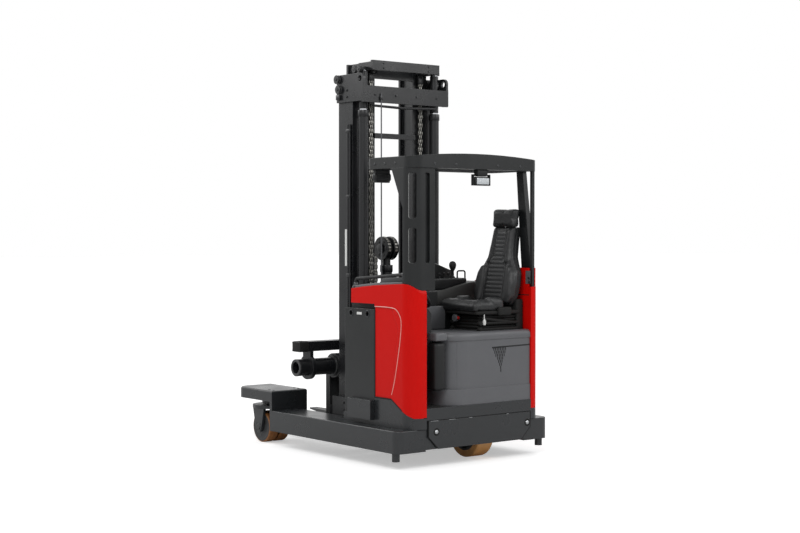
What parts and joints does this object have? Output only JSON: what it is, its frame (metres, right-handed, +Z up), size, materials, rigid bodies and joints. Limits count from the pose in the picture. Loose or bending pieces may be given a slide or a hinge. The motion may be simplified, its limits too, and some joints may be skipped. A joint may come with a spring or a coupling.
{
  "type": "four-way reach truck",
  "caption": "Four-way reach truck: side-facing driver's seat under an overhead guard, reaching three-stage mast, forks on a cross tube, steered load wheels and a steered drive wheel.",
  "frame": {"origin": "on the floor, midway between the rear face and the fork tips and on the centre line", "axes": "+X forward to the fork tips, +Y to the truck's left, +Z up"},
  "size_m": [2.5, 1.454, 2.98],
  "materials": {
    "chassis_paint": "satin dark grey paint",
    "red_paint": "gloss red paint",
    "grey_cover": "grained mid grey plastic",
    "black_plastic": "grained black plastic",
    "seat_cover": "black coated fabric",
    "mast_paint": "black grey paint with grease",
    "fork_steel": "black fork paint",
    "rod_chrome": "ground hard chrome",
    "chain_steel": "oiled chain steel",
    "wheel_iron": "black painted cast iron",
    "polyurethane": "tan polyurethane"
  },
  "bodies": {
    "chassis": {"chassis": "chassis_paint", "rear_panel": "chassis_paint", "leg_left": "chassis_paint", "leg_right": "chassis_paint", "wheel_hood_left": "chassis_paint", "wheel_hood_right": "chassis_paint", "battery": "chassis_paint", "cover_left": "red_paint", "skirt_left": "chassis_paint", "cover_right": "red_paint", "skirt_right": "chassis_paint", "battery_lid": "grey_cover", "seat_hood": "grey_cover", "console": "grey_cover", "seat_base": "black_plastic", "seat_cushion": "seat_cover", "seat_back": "seat_cover", "headrest": "seat_cover", "armrest": "black_plastic", "steering_wheel": "black_plastic", "roof": "chassis_paint", "pillar_left": "chassis_paint", "pillar_right": "chassis_paint", "handrail": "black_plastic", "lamps": "black_plastic", "drive_motor": "chassis_paint", "reach_barrel": "chassis_paint"},
    "drive_yoke": {"drive_yoke": "chassis_paint"},
    "drive_wheel": {"drive_hub": "wheel_iron", "drive_tyre": "polyurethane"},
    "load_yoke_left": {"load_yoke_left": "chassis_paint"},
    "load_wheel_left": {"load_hub_left": "wheel_iron", "load_tyres_left": "polyurethane"},
    "load_yoke_right": {"load_yoke_right": "chassis_paint"},
    "load_wheel_right": {"load_hub_right": "wheel_iron", "load_tyres_right": "polyurethane"},
    "reach_mast": {"reach_carriage": "mast_paint", "reach_rod": "rod_chrome", "outer_rails": "mast_paint", "outer_head": "mast_paint", "lift_barrels": "mast_paint"},
    "middle_mast": {"middle_rails": "mast_paint", "middle_head": "mast_paint", "lift_rods": "rod_chrome", "lift_chains": "chain_steel"},
    "inner_mast": {"inner_rails": "mast_paint", "inner_ties": "mast_paint", "free_barrel": "mast_paint"},
    "free_lift": {"free_rod": "rod_chrome", "free_chains": "chain_steel"},
    "carriage": {"carriage": "mast_paint", "carriage_tube": "mast_paint"},
    "forks": {"fork_left": "fork_steel", "fork_right": "fork_steel"}
  },
  "joints": [
    {"name": "drive_steer", "type": "hinge", "parent": "chassis", "child": "drive_yoke", "pos_m": [-0.98, -0.177, 0.36], "axis": [0, 0, 1], "range_deg": [-90, 90]},
    {"name": "drive_roll", "type": "hinge", "parent": "drive_yoke", "child": "drive_wheel", "pos_m": [-0.98, -0.177, 0.172], "axis": [0, 1, 0], "continuous": true},
    {"name": "load_steer_left", "type": "hinge", "parent": "chassis", "child": "load_yoke_left", "pos_m": [0.625, 0.5595, 0.3], "axis": [0, 0, 1], "range_deg": [-90, 90]},
    {"name": "load_roll_left", "type": "hinge", "parent": "load_yoke_left", "child": "load_wheel_left", "pos_m": [0.625, 0.5595, 0.125], "axis": [0, 1, 0], "continuous": true},
    {"name": "load_steer_right", "type": "hinge", "parent": "chassis", "child": "load_yoke_right", "pos_m": [0.625, -0.5595, 0.3], "axis": [0, 0, 1], "range_deg": [-90, 90]},
    {"name": "load_roll_right", "type": "hinge", "parent": "load_yoke_right", "child": "load_wheel_right", "pos_m": [0.625, -0.5595, 0.125], "axis": [0, 1, 0], "continuous": true},
    {"name": "reach", "type": "slide", "parent": "chassis", "child": "reach_mast", "axis": [1, 0, 0], "range_m": [0, 0.44]},
    {"name": "lift_middle", "type": "slide", "parent": "reach_mast", "child": "middle_mast", "axis": [0, 0, 1], "range_m": [0, 2.1]},
    {"name": "lift_inner", "type": "slide", "parent": "middle_mast", "child": "inner_mast", "axis": [0, 0, 1], "range_m": [0, 2.1]},
    {"name": "lift_carriage", "type": "slide", "parent": "inner_mast", "child": "carriage", "axis": [0, 0, 1], "range_m": [0, 1.8]},
    {"name": "free_lift", "type": "slide", "parent": "inner_mast", "child": "free_lift", "axis": [0, 0, 1], "range_m": [0, 0.9]},
    {"name": "fork_tilt", "type": "hinge", "parent": "carriage", "child": "forks", "pos_m": [0.08, 0, 0.635], "axis": [0, -1, 0], "range_deg": [0, 5]}
  ],
  "couplings": [
    {"joint": "lift_inner", "follows": "lift_middle", "ratio": 1},
    {"joint": "free_lift", "follows": "lift_carriage", "ratio": 0.5}
  ]
}
